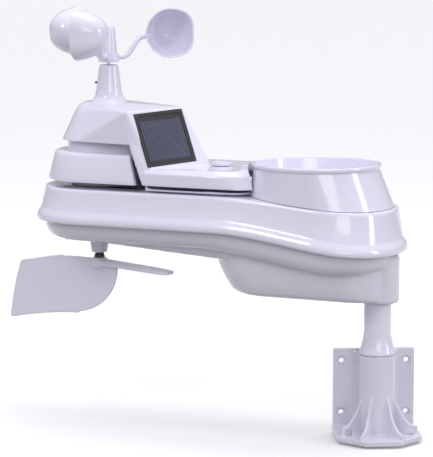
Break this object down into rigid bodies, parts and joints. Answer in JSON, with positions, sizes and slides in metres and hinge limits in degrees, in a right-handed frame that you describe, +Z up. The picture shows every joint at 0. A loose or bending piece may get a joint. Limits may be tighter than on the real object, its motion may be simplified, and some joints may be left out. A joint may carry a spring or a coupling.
{
  "type": "weather sensor head",
  "caption": "Weather sensor head with cup anemometer, wind vane, louvred shield, solar panel and rain collector on a post and wall bracket.",
  "frame": {"origin": "underside of the bracket base plate, on the post axis", "axes": "+Z up along the post; +Y out of the bracket back plate, towards the wall it screws to; +X to the right seen from the front"},
  "size_m": [0.3266, 0.2293, 0.3338],
  "materials": {
    "white_abs": "glossy, smooth",
    "housing_abs": "semi-gloss",
    "panel_border": "gloss",
    "solar_cell": "gloss, fine light lines",
    "steel": "bright",
    "black_plastic": "matte",
    "circuit_board": "satin",
    "bearing_bronze": "satin",
    "level_fluid": "clear gloss",
    "cell_wrap": "gloss"
  },
  "bodies": {
    "bracket": {"mounting_bracket": "housing_abs", "post_tube": "white_abs"},
    "head": {"skirt_shell": "white_abs", "middle_louver": "white_abs", "top_cover": "white_abs", "level_cup": "white_abs", "under_housing": "housing_abs", "shield_neck": "housing_abs", "bucket_frame": "housing_abs", "solar_panel_frame": "panel_border", "solar_cells": "solar_cell", "locking_screw": "steel", "housing_screw_1": "steel", "housing_screw_2": "steel", "housing_screw_3": "steel", "housing_screw_4": "steel", "mast_pin": "black_plastic", "fan_frame": "black_plastic", "battery_tray": "black_plastic", "main_board": "circuit_board", "direction_board": "circuit_board", "climate_sensor": "circuit_board", "mast_bearing": "bearing_bronze", "level_vial": "level_fluid", "battery_cell_1": "cell_wrap", "battery_cell_2": "cell_wrap", "battery_cell_3": "cell_wrap", "battery_cell_4": "cell_wrap"},
    "rotor": {"cup_hub": "white_abs", "cup_1": "white_abs", "cup_2": "white_abs", "cup_3": "white_abs", "cup_shaft": "steel", "wind_magnet": "steel"},
    "vane": {"vane_pointer": "white_abs", "vane_shaft": "steel", "vane_collar": "black_plastic", "vane_magnet": "steel"},
    "fan": {"fan_rotor": "black_plastic"},
    "bucket": {"tipping_bucket": "black_plastic", "bucket_pin": "steel", "bucket_magnet": "steel"},
    "collector": {"rain_collector": "white_abs"},
    "screen": {"debris_screen": "housing_abs"},
    "door": {"battery_door": "housing_abs"},
    "switch": {"channel_switch": "black_plastic"}
  },
  "joints": [
    {"name": "head_swivel", "type": "hinge", "parent": "bracket", "child": "head", "pos_m": [0, 0, 0.1], "axis": [0, 0, 1], "continuous": true},
    {"name": "cup_spin", "type": "hinge", "parent": "head", "child": "rotor", "pos_m": [-0.20749, 0.11033, 0.3], "axis": [0, 0, 1], "continuous": true},
    {"name": "vane_swing", "type": "hinge", "parent": "head", "child": "vane", "pos_m": [-0.21632, 0.11502, 0.124], "axis": [0, 0, 1], "continuous": true},
    {"name": "fan_spin", "type": "hinge", "parent": "head", "child": "fan", "pos_m": [-0.20926, 0.11126, 0.178], "axis": [0, 0, 1], "continuous": true},
    {"name": "bucket_tip", "type": "hinge", "parent": "head", "child": "bucket", "pos_m": [-0.04591, 0.02441, 0.168], "axis": [0.4695, 0.8829, 0], "range_deg": [-32, 0]},
    {"name": "collector_lift", "type": "slide", "parent": "head", "child": "collector", "axis": [0, 0, 1], "range_m": [0, 0.06]},
    {"name": "screen_lift", "type": "slide", "parent": "collector", "child": "screen", "axis": [0, 0, 1], "range_m": [0, 0.03]},
    {"name": "battery_door_hinge", "type": "hinge", "parent": "head", "child": "door", "pos_m": [-0.0739, 0.03929, 0.11], "axis": [0.4695, 0.8829, 0], "range_deg": [0, 95]},
    {"name": "channel_select", "type": "slide", "parent": "head", "child": "switch", "axis": [0.4695, 0.8829, 0], "range_m": [-0.002, 0.002]}
  ]
}
